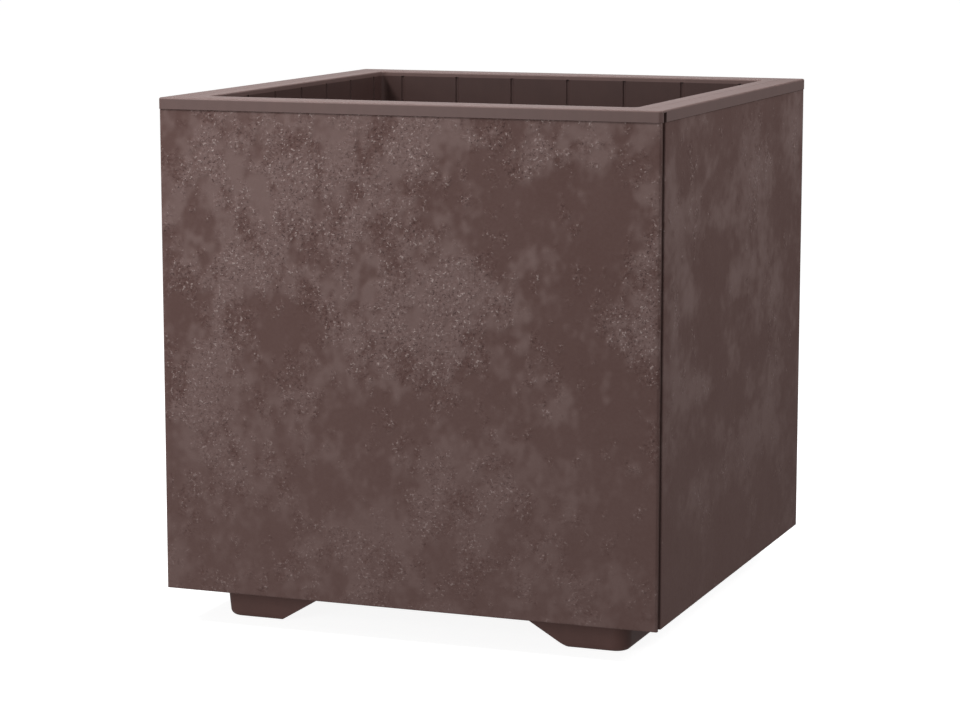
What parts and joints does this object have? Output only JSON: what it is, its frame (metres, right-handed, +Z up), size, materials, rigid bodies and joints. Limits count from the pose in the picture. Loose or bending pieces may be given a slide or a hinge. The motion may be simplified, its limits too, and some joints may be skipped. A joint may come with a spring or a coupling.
{
  "type": "planter box",
  "caption": "Square planter box: stone-effect panels under a flat rim frame, lift-out grooved liner pot with pull-out drain plugs, base tray and wedge feet.",
  "frame": {"origin": "on the ground under the middle of the box", "axes": "+X to the box's right, -Y out of its front panel, +Z up"},
  "size_m": [0.395, 0.395, 0.403],
  "materials": {
    "stone_effect_plastic": "cement-effect moulded texture, matt",
    "smooth_plastic": "fine satin moulded",
    "inner_plastic": "fine satin moulded",
    "foot_plastic": "fine satin moulded",
    "plug_plastic": "satin moulded",
    "seal_rubber": "smooth rubber",
    "steel": "bright zinc"
  },
  "bodies": {
    "housing": {"rim_frame": "smooth_plastic", "front_panel": "stone_effect_plastic", "back_panel": "stone_effect_plastic", "right_panel": "stone_effect_plastic", "left_panel": "stone_effect_plastic", "corner_post_front_left": "smooth_plastic", "corner_post_front_right": "smooth_plastic", "corner_post_back_right": "smooth_plastic", "corner_post_back_left": "smooth_plastic", "base_tray": "smooth_plastic", "foot_front_left": "foot_plastic", "foot_front_right": "foot_plastic", "foot_back_right": "foot_plastic", "foot_back_left": "foot_plastic", "rim_screws": "steel", "foot_screws": "steel", "tray_screws": "steel"},
    "liner": {"liner_pot": "inner_plastic"},
    "plug_front_left": {"drain_plug_front_left": "plug_plastic", "drain_seal_front_left": "seal_rubber"},
    "plug_front_right": {"drain_plug_front_right": "plug_plastic", "drain_seal_front_right": "seal_rubber"},
    "plug_back_right": {"drain_plug_back_right": "plug_plastic", "drain_seal_back_right": "seal_rubber"},
    "plug_back_left": {"drain_plug_back_left": "plug_plastic", "drain_seal_back_left": "seal_rubber"}
  },
  "joints": [
    {"name": "liner_lift", "type": "slide", "parent": "housing", "child": "liner", "axis": [0, 0, 1], "range_m": [0, 0.38]},
    {"name": "plug_pull_front_left", "type": "slide", "parent": "liner", "child": "plug_front_left", "axis": [0, 0, 1], "range_m": [0, 0.38]},
    {"name": "plug_pull_front_right", "type": "slide", "parent": "liner", "child": "plug_front_right", "axis": [0, 0, 1], "range_m": [0, 0.38]},
    {"name": "plug_pull_back_right", "type": "slide", "parent": "liner", "child": "plug_back_right", "axis": [0, 0, 1], "range_m": [0, 0.38]},
    {"name": "plug_pull_back_left", "type": "slide", "parent": "liner", "child": "plug_back_left", "axis": [0, 0, 1], "range_m": [0, 0.38]}
  ]
}
